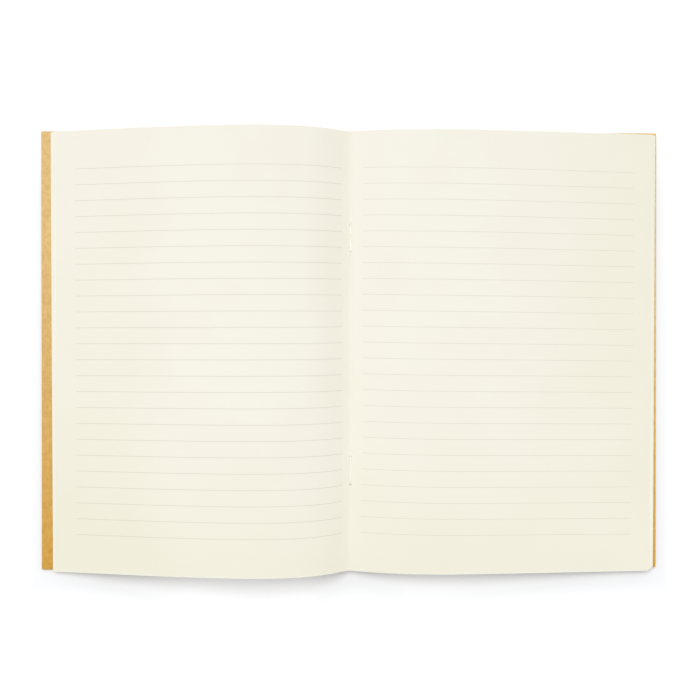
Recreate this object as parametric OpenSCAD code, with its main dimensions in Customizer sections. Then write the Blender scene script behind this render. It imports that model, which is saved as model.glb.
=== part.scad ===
// A saddle-stitched notebook that lies open at its middle spread: a folded card
// cover, one stack of nested folded sheets, and two wire staples through the fold.
// The origin is on the table below the fold, halfway up the pages. X runs across
// the spread, Y runs up the pages and Z runs up from the table.

/* [Cover] */
// Width of each half of the cover, from the fold to the fore-edge
cover_w = 148; // [120:1:200]
// Height of the cover and of the pages
book_h = 210; // [160:1:300]
// Thickness of the cover card
card_t = 0.3; // [0.2:0.05:0.6]
// Distance over which each half comes down from the fold to the table
cover_ramp = 9; // [6:0.5:25]
// Rounding of the two worn corners of the back cover
cover_corner_r = 1; // [0.5:0.1:5]

/* [Sheets] */
// Number of folded sheets, each of which makes two leaves
sheets = 24; // [6:1:40]
// Thickness of one sheet
sheet_t = 0.1; // [0.08:0.01:0.2]
// How far the outermost leaf reaches past the innermost one
creep = 2; // [0.5:0.1:4]
// Rounding of the pages' lower right corner, which is the more worn
low_corner_r = 2; // [0.5:0.1:5]
// Rounding of the pages' upper right corner
high_corner_r = 1; // [0.5:0.1:5]

/* [Left arch] */
// Slope of the left pages where they leave the fold, in degrees
left_rise = 5; // [0:1:40]
// Distance over which they keep that slope
left_fold_pull = 6.4; // [3:0.1:20]
// Distance from the fold to the top of the arch
left_crest_x = 43.8; // [40:0.1:60]
// Height of the arch above the table
left_crest_h = 18.4; // [12:0.1:24]
// How long the arch stays level towards the fold
left_crest_in = 34; // [5:0.5:36]
// How long the arch stays level towards the fore-edge
left_crest_out = 30; // [10:0.5:60]
// How long the leaves lie flat at the fore-edge
left_edge_pull = 6; // [5:0.5:40]

/* [Right arch] */
// Slope of the right pages where they leave the fold, in degrees
right_rise = 22; // [0:1:40]
// Distance over which they keep that slope
right_fold_pull = 18; // [3:0.5:22]
// Distance from the fold to the top of the arch
right_crest_x = 45; // [40:0.5:60]
// Height of the arch above the table
right_crest_h = 10.8; // [9:0.1:20]
// How long the arch stays level towards the fold
right_crest_in = 4; // [3:0.5:30]
// How long the arch stays level towards the fore-edge
right_crest_out = 18; // [10:0.5:60]
// How long the leaves lie flat at the fore-edge
right_edge_pull = 6; // [5:0.5:40]

/* [Staples] */
// Thickness of the wire
wire_d = 0.55; // [0.4:0.05:0.8]
// Length of a staple's crown, between the middles of its legs
crown_l = 13; // [8:0.5:18]
// Length of each clinched end, along the gutter
clinch_l = 5; // [2:0.25:6]
// Inner radius of the wire's bends
bend_in_r = 0.05; // [0.02:0.01:0.05]
// Distance of the upper staple from the middle of the fold
upper_staple_y = 54; // [30:1:65]
// Distance of the lower staple from the middle of the fold
lower_staple_y = 57; // [30:1:65]
// Height of the crowns above the table
crown_clear = 0.4; // [0.1:0.05:1.5]

/* [Fit] */
// Clearance between neighbouring pieces
fit_gap = 0.05; // [0.05:0.01:0.2]

/* [Hidden] */
$fn = 48;

// Straight pieces that each curve of a profile is drawn with
curve_steps = 16;
ramp_steps = 8;
nose_steps = 4;
// Halvings that find the place of a fore-edge
edge_tries = 24;

stack_t = sheets * sheet_t;
leaf_w = cover_w - creep;
wire_r = wire_d / 2;
hole_r = wire_r + fit_gap;
bend_r = wire_r + bend_in_r;

// Heights, from the table up: the wire, the card over it, and the stack over the card
crown_z = crown_clear + wire_r;
fold_lift = crown_clear + wire_d + fit_gap;
gutter_z = fold_lift + card_t + fit_gap + stack_t;
edge_z = card_t + fit_gap + stack_t;
clinch_z = gutter_z + hole_r / cos(max(left_rise, right_rise));

// A side holds the sizes of one arch, with distances counted outwards from the fold
left_side = [left_rise, left_fold_pull, left_crest_x, left_crest_h,
             left_crest_in, left_crest_out, left_edge_pull];
right_side = [right_rise, right_fold_pull, right_crest_x, right_crest_h,
              right_crest_in, right_crest_out, right_edge_pull];
left_edge_x = edge_x(left_side, left_crest_x, leaf_w, edge_tries);
right_edge_x = edge_x(right_side, right_crest_x, leaf_w, edge_tries);

function cubic(p, t) =
    p[0] * pow(1 - t, 3) + 3 * p[1] * t * pow(1 - t, 2) + 3 * p[2] * t * t * (1 - t) + p[3] * pow(t, 3);
function heading(p, t) =
    (p[1] - p[0]) * pow(1 - t, 2) + 2 * (p[2] - p[1]) * t * (1 - t) + (p[3] - p[2]) * t * t;
function total(values) = values * [for (v = values) 1];
function backwards(list) = [for (i = [len(list) - 1:-1:0]) list[i]];
function across(points) = [for (p = points) [-p.x, p.y]];

// The two curves of a leaf's upper face: from the fold up to the crest, and down to the edge
function climb(s) =
    [[0, gutter_z],
     [s[1] * cos(s[0]), gutter_z + s[1] * sin(s[0])],
     [s[2] - s[4], s[3]],
     [s[2], s[3]]];
function descent(s, edge) =
    [[s[2], s[3]],
     [s[2] + s[5], s[3]],
     [edge - s[6], edge_z],
     [edge, edge_z]];

// The leaf's upper face, pushed down along its own normal by a depth
function leaf_line(s, edge, depth) =
    [for (curve = [climb(s), descent(s, edge)], i = [0:curve_steps])
        if (i > 0 || curve[0].x == 0)
            let (t = i / curve_steps, h = heading(curve, t))
            cubic(curve, t) + depth * [h.y, -h.x] / norm(h)];
function run(points) =
    total([for (i = [1:len(points) - 1]) norm(points[i] - points[i - 1])]);
function edge_x(s, near, far, tries) =
    let (middle = (near + far) / 2)
    tries < 1 ? middle
    : run(leaf_line(s, middle, 0)) < leaf_w ? edge_x(s, middle, far, tries - 1)
    : edge_x(s, near, middle, tries - 1);

// Each leaf's edge is one step, and the steps go outwards as they go down
function edge_stair(edge) =
    [for (k = [0:sheets - 1], low = [0, 1])
        if (k + low > 0)
            [edge + creep * k / (sheets - 1), edge_z - (k + low) * sheet_t]];
// The outermost sheet's round fold, about the innermost one's crease
function nose(s) =
    [for (i = [1:nose_steps])
        let (a = s[0] * (1 - i / nose_steps) - 90)
        [stack_t * cos(a), gutter_z + stack_t * sin(a)]];
function half_stack(s, edge) =
    concat(leaf_line(s, edge, 0), edge_stair(edge), backwards(leaf_line(s, edge, stack_t)), nose(s));

// A profile in X and Z, drawn out along the height of the pages
module along_pages(points) {
    rotate([90, 0, 0])
        linear_extrude(book_h, center = true)
            polygon(points);
}

module leg_holes() {
    for (middle = [upper_staple_y, -lower_staple_y], end = [-1, 1])
        translate([0, middle + end * crown_l / 2, 0])
            cylinder(r = hole_r, h = 2 * gutter_z);
}

// What a rounded corner takes away: a square bar less a round one, with the corner at
// the origin. Side is 1 for an upper corner and -1 for a lower one.
module corner_waste(r, side, reach) {
    difference() {
        cube([2 * r, 2 * r, 2 * reach], center = true);
        translate([-r, -side * r, 0])
            cylinder(r = r, h = 3 * reach, center = true);
    }
}

function ramp_lift(x) = fold_lift * (1 + cos(180 * x / cover_ramp)) / 2;
function cover_line(lift) =
    concat([for (i = [0:ramp_steps])
                let (x = i / ramp_steps * cover_ramp)
                [x, ramp_lift(x) + lift]],
           [[cover_w, lift]]);

// One half of the card, from the fold over the staples down to the table
module cover_half() {
    difference() {
        along_pages(concat(cover_line(0), backwards(cover_line(card_t))));
        leg_holes();
    }
}

module front_cover() {
    color([0.80, 0.65, 0.42])
        mirror([1, 0, 0])
            cover_half();
}

module back_cover() {
    color([0.80, 0.65, 0.42])
        difference() {
            cover_half();
            for (side = [-1, 1])
                translate([cover_w, side * book_h / 2, 0])
                    corner_waste(cover_corner_r, side, 2 * card_t);
        }
}

// The fore-edge leans out as it goes down, and the rounded corners lean with it
module page_corner(r, side) {
    translate([right_edge_x, side * book_h / 2, edge_z])
        rotate([0, -atan2(creep, stack_t), 0])
            corner_waste(r, side, 2 * norm([creep, stack_t]));
}

module pages() {
    right = half_stack(right_side, right_edge_x);
    left = across(half_stack(left_side, left_edge_x));
    color([0.95, 0.94, 0.87])
        difference() {
            along_pages(concat(right, [for (i = [len(left) - 2:-1:1]) left[i]]));
            leg_holes();
            page_corner(high_corner_r, 1);
            page_corner(low_corner_r, -1);
        }
}

// A quarter turn of wire in the YZ plane, from heading -Y at the origin to heading up
module bend() {
    translate([0, 0, bend_r])
        rotate([0, 90, 0])
            rotate_extrude(angle = 90)
                translate([bend_r, 0])
                    circle(r = wire_r);
}

// Half of a staple: half the crown, a leg up through the fold, and its clinched end
module half_staple() {
    leg_y = crown_l / 2;
    translate([0, 0, crown_z])
        rotate([-90, 0, 0])
            cylinder(r = wire_r, h = leg_y - bend_r);
    translate([0, leg_y - bend_r, crown_z])
        bend();
    translate([0, leg_y, crown_z + bend_r])
        cylinder(r = wire_r, h = clinch_z - crown_z - 2 * bend_r);
    translate([0, leg_y - bend_r, clinch_z])
        mirror([0, 0, 1])
            bend();
    translate([0, leg_y - clinch_l, clinch_z])
        rotate([-90, 0, 0])
            cylinder(r = wire_r, h = clinch_l - bend_r);
}

module staple() {
    half_staple();
    mirror([0, 1, 0])
        half_staple();
}

module staples() {
    color([0.70, 0.71, 0.73])
        for (middle = [upper_staple_y, -lower_staple_y])
            translate([0, middle, 0])
                staple();
}

front_cover();
back_cover();
pages();
staples();
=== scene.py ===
# An open saddle-stitched notebook, seen from above on a white table.
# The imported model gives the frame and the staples. The card and every leaf are drawn
# here as thin sheets of their own, so that the stack shows its edges.
import math
import random

import bmesh
import bpy
import numpy as np
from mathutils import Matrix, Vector


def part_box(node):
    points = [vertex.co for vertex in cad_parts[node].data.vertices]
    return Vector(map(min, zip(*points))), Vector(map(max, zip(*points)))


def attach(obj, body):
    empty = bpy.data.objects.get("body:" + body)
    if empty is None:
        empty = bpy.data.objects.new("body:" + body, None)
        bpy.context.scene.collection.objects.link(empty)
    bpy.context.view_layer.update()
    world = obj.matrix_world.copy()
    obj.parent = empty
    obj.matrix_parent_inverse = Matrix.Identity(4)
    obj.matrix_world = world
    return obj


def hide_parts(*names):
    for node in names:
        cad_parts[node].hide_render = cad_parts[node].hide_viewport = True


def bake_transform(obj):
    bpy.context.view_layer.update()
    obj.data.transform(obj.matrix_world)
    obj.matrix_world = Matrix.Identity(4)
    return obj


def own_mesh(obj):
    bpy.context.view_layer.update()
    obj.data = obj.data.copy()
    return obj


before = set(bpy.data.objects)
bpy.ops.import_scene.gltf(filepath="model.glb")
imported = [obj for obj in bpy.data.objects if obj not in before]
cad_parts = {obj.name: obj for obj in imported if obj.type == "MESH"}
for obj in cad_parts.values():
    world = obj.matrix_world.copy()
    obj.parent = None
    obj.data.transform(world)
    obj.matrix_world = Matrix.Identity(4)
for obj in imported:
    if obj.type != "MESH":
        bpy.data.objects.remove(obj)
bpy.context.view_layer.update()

# Lengths are in millimetres, unless a comment says metres
MM = 0.001
pages_low, pages_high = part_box("pages")
cover_low, cover_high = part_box("back_cover")

# Sizes of the real thing, as in the CAD source
COVER_W = cover_high.x / MM
BOOK_H = (cover_high.y - cover_low.y) / MM
HALF_H = BOOK_H / 2
CARD_T = 0.3
FOLD_LIFT = cover_high.z / MM - CARD_T
COVER_RAMP = 9
SHEETS = 24
SHEET_T = 0.1
CREEP = 2
FIT_GAP = 0.05
STACK_T = SHEETS * SHEET_T
GUTTER_Z = FOLD_LIFT + CARD_T + FIT_GAP + STACK_T
EDGE_Z = CARD_T + FIT_GAP + STACK_T

# The air between two sheets, and where the leaves leave the folded part
SHEET_AIR = 0.012
LEAF_START = 2.0

# The staples' legs from the foot up: the place along the fold, and how far the hole reaches
# from there towards the foot and the head. The lowest hole is torn a little.
LEG_HOLE = 0.285
TORN_HOLE = 0.47
LEGS = [
    (-63.5, TORN_HOLE, LEG_HOLE),
    (-50.5, LEG_HOLE, LEG_HOLE),
    (47.5, LEG_HOLE, LEG_HOLE),
    (60.5, LEG_HOLE, LEG_HOLE),
]
# How far a hole reaches to either side of the fold, in the sheets and in the card
SHEET_HOLE = 0.44
CARD_HOLE = 0.34

# How far the corners are rounded. The right ones are more worn than the left ones.
LEFT_CORNER_R = 0.4
LOW_CORNER_R = 2
HIGH_CORNER_R = 0.6
CARD_LEFT_R = 0.3
CARD_LOW_R = 1
CARD_HIGH_R = 0.4

# How the leaves lie. They lean out at the head and in at the foot, they sit a little low in
# the card, and the right ones sag besides. Lean and sag are distances at the fore-edge, and
# the shift down is whole from DOWN_REACH outwards.
LEAF_SPLAY = 0.6
LEFT_DOWN = 0.25
RIGHT_DOWN = 0.40
DOWN_REACH = 30
RIGHT_SAG = 0.45
# How the card lies, and by how much its right half is short
CARD_UP = 0.25
CARD_SPLAY = 0.16
CARD_SHORT = 0.2
# The fore-edges curl up a little: from where, and how high
CURL_START = 115
LEFT_CURL = 0.8
RIGHT_CURL = 1.5

# How unevenly the sheets were cut, the least and the most leaves in a bunch that was cut
# together, and the width of the pale rim along the cut, a painted highlight, to within a hair
TRIM_SPREAD = 0.12
BUNCH = (3, 6)
RIM_W = 0.5
HAIR = 0.01
# The left leaves were cut askew, from SKEW_START outwards: the innermost is this much shorter
# at its head and longer at its foot, and the outermost is straight
LEFT_SKEW = 0.85
SKEW_START = 137

# The ruling: where its lines start and end along the leaf, how far it is shifted up the page,
# its turn in degrees, how far its lines run up next to the fold, and their width
LINES = 24
LINE_PITCH = 7.548
LEFT_RULES = {"start": 4.35, "end": 135.3, "middle": -0.13,
              "turn": 0.0, "rise": 0.5, "width": 0.33}
RIGHT_RULES = {"start": 5.9, "end": 136.8, "middle": 0.12,
               "turn": 0.42, "rise": 0.0, "width": 0.265}
# The length over which that rise fades, and the length at the fore-edge that isn't turned
RISE_REACH = 12
UNTURNED = 3

# How finely a leaf is drawn: the length next to the fold where its columns of points are
# close, how many columns there are there, further out and round a corner, and the least
# length between the even columns and the fore-edge. Then the rows of points that bound the
# rims at the foot and at the head.
NEAR_FOLD = 14
NEAR_COLUMNS = 14
FAR_COLUMNS = 66
CORNER_COLUMNS = 7
EDGE_ROOM = 1.4
RIM_ROWS = 2
# Faces that meet at more degrees than this have a sharp edge between them
SHARP_ANGLE = 35

# The camera hangs above the fold, a little to its left, and is turned back to it by so many
# degrees
CAMERA_PLACE = (-7.3, 0.45, 460)
CAMERA_TURN = -0.886
CAMERA_LENS = 49.1
CAMERA_SENSOR = 36

rng = random.Random(24)


# The pages' profile

def cubic(points, steps=120):
    """Points along a Bezier curve, from its four control points."""
    p = np.array(points, float)
    t = np.linspace(0, 1, steps + 1)[:, None]
    near_end = p[0] * (1 - t) ** 3 + 3 * p[1] * t * (1 - t) ** 2
    return near_end + 3 * p[2] * t * t * (1 - t) + p[3] * t ** 3


class Arch:
    """The innermost leaf's upper face on one side: distance from the fold and height."""

    def __init__(self, side, rise, fold_pull, crest_x, crest_h, crest_in, crest_out, edge_pull):
        self.side = side
        self.rise = math.radians(rise)
        self.crest_h = crest_h
        outermost = pages_high.x if side > 0 else -pages_low.x
        edge = outermost / MM - CREEP
        climb = cubic([
            (0, GUTTER_Z),
            (fold_pull * math.cos(self.rise), GUTTER_Z + fold_pull * math.sin(self.rise)),
            (crest_x - crest_in, crest_h),
            (crest_x, crest_h),
        ])
        descent = cubic([
            (crest_x, crest_h),
            (crest_x + crest_out, crest_h),
            (edge - edge_pull, EDGE_Z),
            (edge, EDGE_Z),
        ])
        # The profile goes on level, past the edge of the longest leaf
        past_edge = [[edge + 2 * CREEP, EDGE_Z]]
        points = np.vstack([climb, descent[1:], past_edge])
        steps = np.diff(points, axis=0)
        angles = np.arctan2(steps[:, 1], steps[:, 0])
        self.x, self.z = points.T
        self.run = np.concatenate([[0], np.cumsum(np.hypot(*steps.T))])
        middles = (self.run[1:] + self.run[:-1]) / 2
        self.angle = np.interp(self.run, middles, angles)
        self.angle[0] = self.rise
        self.leaf_w = np.interp(edge, self.x, self.run)

    def at(self, run, depth):
        """Distance from the fold and height, at a length along the leaf and a depth below it."""
        run = np.asarray(run, float)
        angle = np.interp(run, self.run, self.angle)
        x = np.interp(run, self.run, self.x) + depth * np.sin(angle)
        z = np.interp(run, self.run, self.z) - depth * np.cos(angle)
        return x, z


left = Arch(-1, rise=5, fold_pull=6.4, crest_x=43.8, crest_h=18.4,
            crest_in=34, crest_out=30, edge_pull=6)
right = Arch(1, rise=22, fold_pull=18, crest_x=45, crest_h=10.8,
             crest_in=4, crest_out=18, edge_pull=6)


def curled(x, y, z):
    """Points lifted where they are near a fore-edge. They are drawn in as they come nearer to
    the camera, so that it sees them where they were."""
    share = np.clip((np.abs(x) - CURL_START) / (COVER_W - CURL_START), 0, None) ** 2
    height = share * np.where(x < 0, LEFT_CURL, RIGHT_CURL)
    nearer = 1 - height / CAMERA_PLACE[2]
    return x * nearer, y * nearer, z + height


# Thin sheets

class Sheets:
    """Collects closed thin sheets into one mesh. Faces carry a material's place in a list."""

    def __init__(self):
        self.points, self.faces, self.slots = [], [], []

    def add(self, tops, bottoms, skip=(), inked=(), pale=(), edge_slot=0):
        """Adds a sheet from its two faces' points, both in rows by X and then by Y. Cells in
        skip are left open, with walls round them. Cells in inked take the second material and
        cells in pale the third."""
        columns, rows = tops.shape[:2]
        first = len(self.points)
        under = columns * rows
        self.points += [tuple(p) for p in tops.reshape(-1, 3)]
        self.points += [tuple(p) for p in bottoms.reshape(-1, 3)]
        cells = {(i, j) for i in range(columns - 1) for j in range(rows - 1)} - set(skip)
        for i, j in sorted(cells):
            corners = [(i, j), (i + 1, j), (i + 1, j + 1), (i, j + 1)]
            top = [first + a * rows + b for a, b in corners]
            self.faces.append(top)
            self.slots.append(1 if (i, j) in inked else 2 if (i, j) in pale else 0)
            self.faces.append([v + under for v in reversed(top)])
            self.slots.append(0)
            beyond = [(i, j - 1), (i + 1, j), (i, j + 1), (i - 1, j)]
            for k, neighbour in enumerate(beyond):
                if neighbour not in cells:
                    a, b = top[k], top[(k + 1) % 4]
                    self.faces.append([b, a, a + under, b + under])
                    self.slots.append(edge_slot)

    def build(self, name, materials, body=None):
        """Makes the object, with smooth faces and sharp rims. Without a body it is left free."""
        mesh = bpy.data.meshes.new(name)
        mesh.from_pydata([(x * MM, y * MM, z * MM) for x, y, z in self.points], [], self.faces)
        for material in materials:
            mesh.materials.append(material)
        mesh.polygons.foreach_set("material_index", self.slots)
        mesh.polygons.foreach_set("use_smooth", [True] * len(self.faces))
        mesh.update()
        mesh.set_sharp_from_angle(angle=math.radians(SHARP_ANGLE))
        if mesh.validate():
            raise ValueError("The mesh of " + name + " has faults.")
        used = {v for face in self.faces for v in face}
        if len(used) < len(self.points):
            drop_loose_points(mesh)
        obj = bpy.data.objects.new(name, mesh)
        bpy.context.scene.collection.objects.link(obj)
        if body:
            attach(obj, body)
        return obj


def drop_loose_points(mesh):
    """Removes the points inside a skipped cell that no face uses."""
    bm = bmesh.new()
    bm.from_mesh(mesh)
    bmesh.ops.delete(bm, geom=[v for v in bm.verts if not v.link_faces], context="VERTS")
    bm.to_mesh(mesh)
    bm.free()


# Materials

class Tree:
    """Short ways to add linked nodes to a material or to the world."""

    def __init__(self, owner):
        owner.use_nodes = True
        self.nodes = owner.node_tree.nodes
        self.links = owner.node_tree.links

    def add(self, kind, *values, **named):
        """A new node. Values go to its inputs in their order, or by name with a low line for
        each blank. A value is a number, a colour or another node's output."""
        node = self.nodes.new("ShaderNode" + kind)
        pairs = list(zip(node.inputs, values))
        pairs += [(node.inputs[key.replace("_", " ")], value) for key, value in named.items()]
        for socket, value in pairs:
            if isinstance(value, bpy.types.NodeSocket):
                self.links.new(value, socket)
            else:
                socket.default_value = value
        return node

    def math(self, operation, *values):
        """The result of a calculation with one value or two."""
        node = self.add("Math", *values)
        node.operation = operation
        return node.outputs["Value"]

    def remap(self, value, low, high, to_low=0.0, to_high=1.0):
        """The value between low and high, as a value between to_low and to_high."""
        node = self.add("MapRange", Value=value, From_Min=low, From_Max=high,
                        To_Min=to_low, To_Max=to_high)
        return node.outputs["Result"]

    def mix(self, factor, first, second, how="MIX"):
        """One colour mixed into another."""
        node = self.add("MixRGB", Fac=factor, Color1=first, Color2=second)
        node.blend_type = how
        return node.outputs["Color"]

    def along(self, axis):
        """Distance along one axis, in metres."""
        place = self.add("TexCoord").outputs["Object"]
        return self.add("SeparateXYZ", Vector=place).outputs[axis]

    def noise(self, scale, detail, roughness=0.55, stretch=(1, 1, 1), distortion=0.0):
        """Noise in the object's own space, with its scale in waves a metre."""
        place = self.add("TexCoord").outputs["Object"]
        if stretch != (1, 1, 1):
            place = self.add("Mapping", Vector=place, Scale=stretch).outputs["Vector"]
        texture = self.add("TexNoise", Vector=place, Scale=scale, Detail=detail,
                           Roughness=roughness, Distortion=distortion)
        return texture.outputs["Fac"]

    def seen_directly(self):
        """1 for a ray from the camera, a gloss or a pane, and 0 for one that carries light."""
        rays = self.add("LightPath")
        glossy = self.math("MAXIMUM", rays.outputs["Is Camera Ray"], rays.outputs["Is Glossy Ray"])
        return self.math("MAXIMUM", glossy, rays.outputs["Is Transmission Ray"])

    def surface(self, colour, roughness, height, strength, distance, **settings):
        """Sets up the Principled shader: colour, roughness, bumps of a distance in metres, and
        further settings by name."""
        bump = self.add("Bump", Height=height, Strength=strength, Distance=distance)
        sockets = self.nodes["Principled BSDF"].inputs
        self.links.new(colour, sockets["Base Color"])
        self.links.new(roughness, sockets["Roughness"])
        self.links.new(bump.outputs["Normal"], sockets["Normal"])
        for key, value in settings.items():
            sockets[key.replace("_", " ")].default_value = value


# Where the paper is darker and warmer: towards the foot, the right fore-edge and the left edge
# partly by its own tone and partly by painted shade, and on the gutter's left slope by painted
# shade. Each row holds two places across or up the spread, in metres, and the share of the
# darker tone at either. The two rows of the gutter's left slope are multiplied, and so are the
# two of the left edge, which is darker towards the foot.
FOOT_TONE = (-0.02, -HALF_H * MM, 0.0, 0.75)
RIGHT_TONE = (0.06, 0.142, 0.0, 0.75)
SLOPE_TONE = (-0.022, -0.010, 0.0, 1.0)
FOLD_TONE = (0.002, 0.0, 0.0, 0.35)
LEFT_TONE = (-0.082, -0.105, 0.0, 0.45)
LEFT_TONE_DOWN = (0.10, 0.0, 0.4, 1.0)


def paper(name, fresh, darker_tone, fibre, cut=None):
    """Uncoated paper: cream that is darker and warmer towards the foot and the outer edges,
    partly its own tone and partly painted shade, with painted shade on the gutter's left slope,
    and with faint clouds and a fine tooth. Where sheets show their cut edges side by side, cut is
    the tone of the stripes."""
    material = bpy.data.materials.new(name)
    tree = Tree(material)
    across, up = tree.along("X"), tree.along("Y")
    # Painted shade on the gutter's left slope, which faces away from the light
    valley_shade = tree.math("MULTIPLY", tree.remap(across, *SLOPE_TONE), tree.remap(across, *FOLD_TONE))
    left_edge = tree.math("MULTIPLY", tree.remap(up, *LEFT_TONE_DOWN),
                          tree.remap(across, *LEFT_TONE))
    # The darker tone towards the foot and the outer edges: partly the paper's own, partly painted
    # shade
    tone_and_shade = tree.math("MAXIMUM", tree.remap(up, *FOOT_TONE), tree.remap(across, *RIGHT_TONE))
    tone_and_shade = tree.math("MAXIMUM", tone_and_shade, valley_shade)
    tone_and_shade = tree.math("ADD", tone_and_shade, left_edge)
    clouds = tree.remap(tree.noise(scale=28, detail=3), 0.35, 0.65, to_low=-0.12, to_high=0.12)
    colour = tree.mix(tree.math("ADD", tone_and_shade, clouds), fresh, darker_tone)
    if cut:
        stripes = tree.noise(scale=1500, detail=2, stretch=(1, 0.004, 0.004))
        colour = tree.mix(tree.remap(stripes, 0.42, 0.60), colour, cut)
    tooth = tree.noise(scale=1700, detail=4, roughness=0.7)
    colour = tree.mix(tree.remap(tooth, 0.55, 0.8, to_high=0.35), colour, fibre, "MULTIPLY")
    roughness = tree.remap(tooth, 0.3, 0.7, to_low=0.78, to_high=0.9)
    tree.surface(colour, roughness, height=tooth, strength=0.12, distance=0.00005,
                 Specular_IOR_Level=0.3, Diffuse_Roughness=0.5)
    return material


def kraft(name, head, foot, mottled, strand, fleck):
    """Kraft card: mottled tan, deeper towards the foot, with dark strands and pale flecks."""
    material = bpy.data.materials.new(name)
    tree = Tree(material)
    base = tree.mix(tree.remap(tree.along("Y"), 0.05, -HALF_H * MM), head, foot)
    clouds = tree.remap(tree.noise(scale=420, detail=5, roughness=0.6), 0.3, 0.7)
    base = tree.mix(clouds, base, mottled, "MULTIPLY")
    strands = tree.noise(scale=900, detail=6, roughness=0.7, stretch=(1.0, 0.25, 1.0),
                         distortion=0.6)
    base = tree.mix(tree.remap(strands, 0.52, 0.75, to_high=0.5), base, strand, "MULTIPLY")
    flecks = tree.noise(scale=1300, detail=4, roughness=0.6, stretch=(0.3, 1.0, 1.0),
                        distortion=0.8)
    base = tree.mix(tree.remap(flecks, 0.58, 0.72, to_high=0.25), base, fleck)
    roughness = tree.remap(strands, 0.3, 0.7, to_low=0.7, to_high=0.85)
    tree.surface(base, roughness, height=strands, strength=0.25, distance=0.00008,
                 Specular_IOR_Level=0.3)
    return material


def wire(name, bright, dull):
    """Galvanised staple wire with fine drawn lines and small dull spots."""
    material = bpy.data.materials.new(name)
    tree = Tree(material)
    drawn = tree.noise(scale=2500, detail=3, stretch=(1.0, 0.05, 1.0))
    spots = tree.remap(tree.noise(scale=1200, detail=4), 0.4, 0.7)
    roughness = tree.remap(drawn, 0.3, 0.7, to_low=0.5, to_high=0.65)
    tree.surface(tree.mix(spots, bright, dull), roughness, height=drawn, strength=0.2,
                 distance=0.00002, Metallic=1.0)
    return material


FIBRE = (0.97, 0.965, 0.95, 1)
page_paper = paper("page_paper", fresh=(0.930, 0.912, 0.828, 1), darker_tone=(0.886, 0.864, 0.738, 1),
                   fibre=FIBRE)
rule_ink = paper("rule_ink", fresh=(0.786, 0.779, 0.668, 1), darker_tone=(0.764, 0.752, 0.621, 1),
                 fibre=(0.90, 0.90, 0.89, 1))
# Lighter paper for the pale rims and the leaves' cut edges: a painted highlight, with stripes
# along the cut
page_edge_highlight = paper("page_edge_highlight", fresh=(0.970, 0.962, 0.890, 1), darker_tone=(0.945, 0.930, 0.810, 1),
                  fibre=FIBRE, cut=(0.890, 0.885, 0.780, 1))
cover_card = kraft("cover_card", head=(0.82, 0.57, 0.245, 1), foot=(0.72, 0.41, 0.070, 1),
                   mottled=(0.86, 0.80, 0.72, 1), strand=(0.62, 0.47, 0.30, 1),
                   fleck=(0.95, 0.78, 0.50, 1))
staple_wire = wire("staple_wire", bright=(0.96, 0.94, 0.88, 1), dull=(0.88, 0.86, 0.80, 1))


# Leaves

def place_leaf(arch, run, y, depth):
    """The point of a leaf at a length from the fold and a height up the page, in millimetres.
    The right pages' sag and the spread's lean grow from the fold to the fore-edge."""
    x, z = arch.at(run, depth)
    share = x / arch.leaf_w
    down, sag = (LEFT_DOWN, 0) if arch.side < 0 else (RIGHT_DOWN, RIGHT_SAG)
    x = x + LEAF_SPLAY * share * y / HALF_H
    down = down * np.clip(run / DOWN_REACH, 0, 1) + sag * share ** 2
    return np.stack(curled(arch.side * x, y - down, z), axis=-1)


def corner_cut(run, end, r):
    """How far a rounded corner takes the edge in, at a length along the leaf."""
    into = np.clip(run - (end - r), 0, r)
    return r - np.sqrt(np.maximum(r * r - into * into, 0))


def leaf_runs(end, r, wanted):
    """Lengths at which a leaf has a column of points: close where it bends, even elsewhere, and
    round its corners. The nearest columns move to the wanted lengths."""
    near_fold = np.linspace(LEAF_START, NEAR_FOLD, NEAR_COLUMNS)
    body = np.linspace(NEAR_FOLD, end - max(r, EDGE_ROOM), FAR_COLUMNS)[1:]
    rim = [] if r > RIM_W else [end - RIM_W]
    corner = end - r + r * np.sin(np.linspace(0, math.pi / 2, CORNER_COLUMNS))[1:]
    runs = np.concatenate([near_fold, body, rim, corner])
    for length in wanted:
        runs[np.argmin(np.abs(runs - length))] = length
    return runs


def rule_rows(width):
    """The two edges of each line, from the foot up, measured from the ruling's middle."""
    middles = [(i - (LINES - 1) / 2) * LINE_PITCH for i in range(LINES)]
    return [m + side * width / 2 for m in middles for side in (-1, 1)]


def turn_ruling(arch, rules, runs, end, run, y):
    """Moves a leaf's rows between its rims, so that its ruling is turned as one block: its ends
    and its lines lean by the same angle. Gives the cells that are inked."""
    turn = math.tan(math.radians(rules["turn"]))
    inner = (slice(None), slice(RIM_ROWS, -RIM_ROWS))
    length = run[inner].copy()
    height = y[inner].copy()
    middle = (rules["start"] + rules["end"]) / 2
    places = [LEAF_START, rules["start"], rules["end"], end - UNTURNED]
    share = np.interp(length, places, [0, 1, 1, 0])
    rise = rules["rise"] * np.exp(-length / RISE_REACH)
    y[inner] = height + rules["middle"] + rise - turn * (length - middle)
    run[inner] += arch.side * turn * height * share
    first = int(np.argmin(np.abs(runs - rules["start"])))
    last = int(np.argmin(np.abs(runs - rules["end"])))
    return {(i, RIM_ROWS + 2 * n) for i in range(first, last) for n in range(LINES)}


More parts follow.
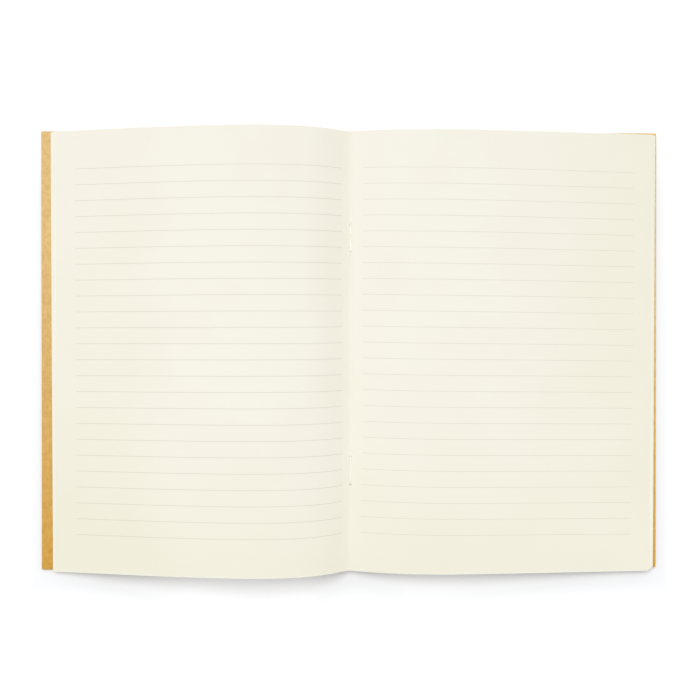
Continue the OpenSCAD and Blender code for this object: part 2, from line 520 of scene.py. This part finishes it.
def leaf(arch, k, bunch, rules=None):
    """Leaf k of one side, counted from the innermost, on which the ruling is printed. Leaves
    that were cut in one bunch end together."""
    on_left = arch.side < 0
    longer = CREEP * k / (SHEETS - 1)
    end = arch.leaf_w + longer + bunch + rng.uniform(-TRIM_SPREAD, TRIM_SPREAD) / 2
    r_low, r_high = (LEFT_CORNER_R,) * 2 if on_left else (LOW_CORNER_R, HIGH_CORNER_R)
    runs = leaf_runs(end, r_low, (rules["start"], rules["end"]) if rules else ())
    foot = -HALF_H + rng.uniform(0, TRIM_SPREAD) + corner_cut(runs, end, r_low)
    head = HALF_H - rng.uniform(0, TRIM_SPREAD) - corner_cut(runs, end, r_high)
    rows = rule_rows(rules["width"]) if rules else [-BOOK_H / 6, BOOK_H / 6]
    lines = [np.full_like(foot, row) for row in rows]
    y = np.stack([foot, foot + RIM_W] + lines + [head - RIM_W, head], axis=1)
    columns, heights = y.shape
    run = np.repeat(runs[:, None], heights, axis=1)
    rim = int(np.argmax(runs > end - RIM_W - HAIR))
    # The pale cells along the fore-edge and the foot take the painted highlight
    pale = {(i, j) for i in range(columns - 1) for j in range(heights - 1)
            if i >= rim or j == 0}
    inked = turn_ruling(arch, rules, runs, end, run, y) if rules else set()
    if on_left:
        skew = LEFT_SKEW * (1 - k / (SHEETS - 1))
        run -= skew * y / HALF_H * np.clip((run - SKEW_START) / (end - SKEW_START), 0, 1)
    depth = k * SHEET_T
    tops = place_leaf(arch, run, y, depth + SHEET_AIR / 2)
    bottoms = place_leaf(arch, run, y, depth + SHEET_T - SHEET_AIR / 2)
    if on_left:
        # The columns of every sheet go from left to right
        tops, bottoms = tops[::-1], bottoms[::-1]
        inked = {(columns - 2 - i, j) for i, j in inked}
        pale = {(columns - 2 - i, j) for i, j in pale}
    sheets = Sheets()
    sheets.add(tops, bottoms, inked=inked, pale=pale, edge_slot=2)
    side, body = ("left", "front_half") if on_left else ("right", "back_half")
    name = "%s_leaf_%02d" % (side, k + 1)
    piece = sheets.build(name, [page_paper, rule_ink, page_edge_highlight], body)
    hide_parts("pages")
    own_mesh(piece)


def bunches():
    """How far each leaf's edge stands out or back because of the bunch it was cut in."""
    places = []
    while len(places) < SHEETS:
        places += [rng.uniform(-TRIM_SPREAD, TRIM_SPREAD)] * rng.randint(*BUNCH)
    return places[:SHEETS]


for arch, rules in ((left, LEFT_RULES), (right, RIGHT_RULES)):
    for k, bunch in enumerate(bunches()):
        leaf(arch, k, bunch, rules if k == 0 else None)


# The folded middle of the sheets, with room for the staples' legs

# Lengths from the fold at which its cross-section has points, from the outside in
FOLD_RUNS = [LEAF_START, 1.6, 1.2, 0.8, SHEET_HOLE, 0.15, 0.0]
# Points round the fold, with the two that the lengths above end at
FOLD_POINTS = 6


def leg_rows(foot, head):
    """Rows of points along the fold, with a pair round each leg, and the cells between them."""
    rows = [foot]
    holes = []
    for place, down, up in LEGS:
        holes.append(len(rows))
        rows += [place - down, place + up]
    return rows + [head], holes


def fold_line(depth):
    """The cross-section of one sheet's fold at a depth, from left to right."""
    runs = np.array(FOLD_RUNS)
    x_left, z_left = left.at(runs, depth)
    x_right, z_right = right.at(runs[::-1], depth)
    turn = np.linspace(-left.rise, right.rise, FOLD_POINTS)[1:-1]
    x = np.concatenate([-x_left, depth * np.sin(turn), x_right])
    z = np.concatenate([z_left, GUTTER_Z - depth * np.cos(turn), z_right])
    return x, z


def folded_middle():
    """The folds of all the sheets, as one piece."""
    sheets = Sheets()
    for k in range(SHEETS):
        foot = -HALF_H + rng.uniform(0, TRIM_SPREAD)
        head = HALF_H - rng.uniform(0, TRIM_SPREAD)
        rows, holes = leg_rows(foot, head)
        faces = []
        for depth in (k * SHEET_T + SHEET_AIR / 2, (k + 1) * SHEET_T - SHEET_AIR / 2):
            x, z = fold_line(depth)
            y = np.tile(rows, (len(x), 1))
            y[:, [0, -1]] -= LEFT_DOWN * LEAF_START / DOWN_REACH
            faces.append(np.stack([np.tile(x[:, None], len(rows)), y,
                                   np.tile(z[:, None], len(rows))], axis=-1))
        first = FOLD_RUNS.index(SHEET_HOLE)
        skip = {(i, j) for i in range(first, len(x) - 1 - first) for j in holes}
        sheets.add(faces[0], faces[1], skip=skip, edge_slot=1)
    piece = sheets.build("folded_middle", [page_paper, page_edge_highlight])
    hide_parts("pages")
    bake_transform(piece)


folded_middle()


# The card

# Where it has columns of points: how far from the fold they start on the ramp and on the flat
# part, and how many there are on each of them and round a corner
RAMP_START = 0.8
RAMP_COLUMNS = 20
FLAT_START = COVER_RAMP + 6
FLAT_COLUMNS = 36
CARD_CORNER_COLUMNS = 8


def card():
    """The cover, one folded card that lies over the crowns and comes down to the table."""
    ramp = np.concatenate([[CARD_HOLE], np.linspace(RAMP_START, COVER_RAMP, RAMP_COLUMNS)])
    flat = np.linspace(FLAT_START, COVER_W - CARD_LOW_R, FLAT_COLUMNS)
    turn = np.linspace(0, math.pi / 2, CARD_CORNER_COLUMNS)
    corner = COVER_W - CARD_LOW_R * (1 - np.sin(turn))[1:]
    half = np.concatenate([ramp, flat, corner])
    x = np.concatenate([-half[::-1], [0], half])
    slope = FOLD_LIFT * (1 + np.cos(math.pi * x / COVER_RAMP)) / 2
    lift = np.where(np.abs(x) < COVER_RAMP, slope, 0)
    rows, holes = leg_rows(-HALF_H, HALF_H)
    y = np.tile(rows, (len(x), 1))
    left_cut = corner_cut(-x, COVER_W, CARD_LEFT_R)
    y[:, 0] += CARD_UP + corner_cut(x, COVER_W, CARD_LOW_R) + left_cut
    y[:, -1] += CARD_UP - corner_cut(x, COVER_W, CARD_HIGH_R) - left_cut
    share = np.tile(x[:, None] / COVER_W, len(rows))
    x_all = share * (COVER_W + CARD_SPLAY * y / HALF_H) - CARD_SHORT * np.maximum(share, 0)
    bottoms = np.stack(curled(x_all, y, np.tile(lift[:, None], len(rows))), axis=-1)
    tops = bottoms + (0, 0, CARD_T)
    middle = len(half)
    skip = {(i, j) for i in (middle - 1, middle) for j in holes}
    sheets = Sheets()
    sheets.add(tops, bottoms, skip=skip)
    piece = sheets.build("card_cover", [cover_card])
    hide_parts("front_cover", "back_cover")
    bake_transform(piece)


card()

staples = bpy.data.objects["staples"]
staples.data.materials.clear()
staples.data.materials.append(staple_wire)


# Table, light and camera

WHITE = (1, 1, 1, 1)
# The room is lighter on the side of the notebook's head, and a round window adds to it. The
# window's place and size are in metres.
ROOM_LIGHT = 0.69
ROOM_SLANT = 0.45
WINDOW_PLACE = (-0.36, 1.05, 2.34)
WINDOW_SIZE = 1.5
WINDOW_POWER = 24.5
# Half the table's width and how far it lies below the notebook, in metres, and its colours
# for the camera and for the light
TABLE_REACH = 4.0
TABLE_DROP = 0.05 * MM
TABLE_SEEN = (0.973, 0.98, 0.993, 1)
TABLE_PAINT = (0.80, 0.80, 0.80, 1)
# How much the camera's white is lifted under an arch, a painted light that lightens the arch's
# shadow on the table, between the inner two places across the spread. It falls to the least
# lift at the outer two.
LEAST_LIFT = 0.02
LEFT_LIFT = {"places": (-0.115, -0.075, -0.024, -0.004), "most": 0.17}
RIGHT_LIFT = {"places": (0.004, 0.03, 0.045, 0.11), "most": 0.10}
# The lift beside the notebook, beyond its head and below its foot: the places in metres
# between which it grows, and its size. Kept low next to the notebook, it leaves the shadow there
# darker than the lifted table round it, a painted shade. Then the same far away.
EDGE_LIFT = 0.10
BESIDE = (0.150, 0.158)
BEYOND_HEAD = (0.07, 0.10)
BELOW_FOOT = (-0.110, -0.121)
FAR_AWAY = (0.3, 1.5)
FAR_LIFT = 0.6


def table_glow(tree):
    """How much the table's white is lifted for the camera, so that it is white all round and
    the notebook's shadow stays: a painted light that lightens the shadow under the arches, and
    is least next to the notebook."""
    across, up = tree.along("X"), tree.along("Y")

    def under_arch(places, most):
        outer, full, full_end, outer_end = places
        rising = tree.remap(across, outer, full, LEAST_LIFT, most)
        falling = tree.remap(across, outer_end, full_end, LEAST_LIFT, most)
        return tree.math("MINIMUM", rising, falling)

    near = tree.math("MAXIMUM", under_arch(**LEFT_LIFT), under_arch(**RIGHT_LIFT))
    sideways = tree.math("ABSOLUTE", across)
    for value, places in ((sideways, BESIDE), (up, BEYOND_HEAD), (up, BELOW_FOOT)):
        near = tree.math("MAXIMUM", near, tree.remap(value, *places, 0, EDGE_LIFT))
    away = tree.add("VectorMath", tree.add("TexCoord").outputs["Object"])
    away.operation = "LENGTH"
    return tree.math("ADD", near, tree.remap(away.outputs["Value"], *FAR_AWAY, 0, FAR_LIFT))


def table_top():
    """A white table. The camera sees it lit up to white, more so far away where less light
    falls on it, and everything else sees it as paint."""
    mesh = bpy.data.meshes.new("table_top")
    sides = [(-1, -1), (1, -1), (1, 1), (-1, 1)]
    corners = [(x * TABLE_REACH, y * TABLE_REACH, -TABLE_DROP) for x, y in sides]
    mesh.from_pydata(corners, [], [(0, 1, 2, 3)])
    floor = bpy.data.objects.new("table_top", mesh)
    bpy.context.scene.collection.objects.link(floor)
    material = bpy.data.materials.new("table_paint")
    tree = Tree(material)
    tree.nodes.remove(tree.nodes["Principled BSDF"])
    seen = tree.add("BsdfDiffuse", Color=TABLE_SEEN)
    glow = tree.add("Emission", Color=WHITE, Strength=table_glow(tree))
    lit = tree.add("AddShader", seen.outputs[0], glow.outputs[0])
    paint = tree.add("BsdfDiffuse", Color=TABLE_PAINT)
    both = tree.add("MixShader", tree.seen_directly(), paint.outputs[0], lit.outputs[0])
    tree.links.new(both.outputs[0], tree.nodes["Material Output"].inputs["Surface"])
    mesh.materials.append(material)


def lights():
    """A white room, lit from above and more from the head's side, that the camera sees as
    plain white, and the window."""
    world = bpy.data.worlds.new("room")
    bpy.context.scene.world = world
    tree = Tree(world)
    way = tree.add("TexCoord").outputs["Generated"]
    towards_head = tree.add("SeparateXYZ", Vector=way).outputs["Y"]
    strength = tree.remap(towards_head, -1, 1,
                          ROOM_LIGHT * (1 - ROOM_SLANT), ROOM_LIGHT * (1 + ROOM_SLANT))
    room = tree.add("Background", Color=WHITE, Strength=strength)
    white = tree.nodes["Background"]
    white.inputs["Color"].default_value = WHITE
    both = tree.add("MixShader", tree.seen_directly(), room.outputs[0], white.outputs[0])
    tree.links.new(both.outputs[0], tree.nodes["World Output"].inputs["Surface"])
    lamp = bpy.data.lights.new("window", "AREA")
    lamp.shape = "DISK"
    lamp.size = WINDOW_SIZE
    lamp.energy = WINDOW_POWER
    window = bpy.data.objects.new("window", lamp)
    bpy.context.scene.collection.objects.link(window)
    window.location = WINDOW_PLACE
    window.rotation_euler = (-Vector(WINDOW_PLACE)).to_track_quat("-Z", "Y").to_euler()


def camera():
    """Straight above the fold, a little to its left and turned back to it."""
    data = bpy.data.cameras.new("camera")
    data.lens = CAMERA_LENS
    data.sensor_width = CAMERA_SENSOR
    data.clip_start = 0.01
    obj = bpy.data.objects.new("camera", data)
    bpy.context.scene.collection.objects.link(obj)
    obj.location = [v * MM for v in CAMERA_PLACE]
    obj.rotation_euler = (0, math.radians(CAMERA_TURN), 0)
    bpy.context.scene.camera = obj


table_top()
lights()
camera()
bpy.context.scene.view_settings.view_transform = "Standard"

bpy.context.view_layer.update()
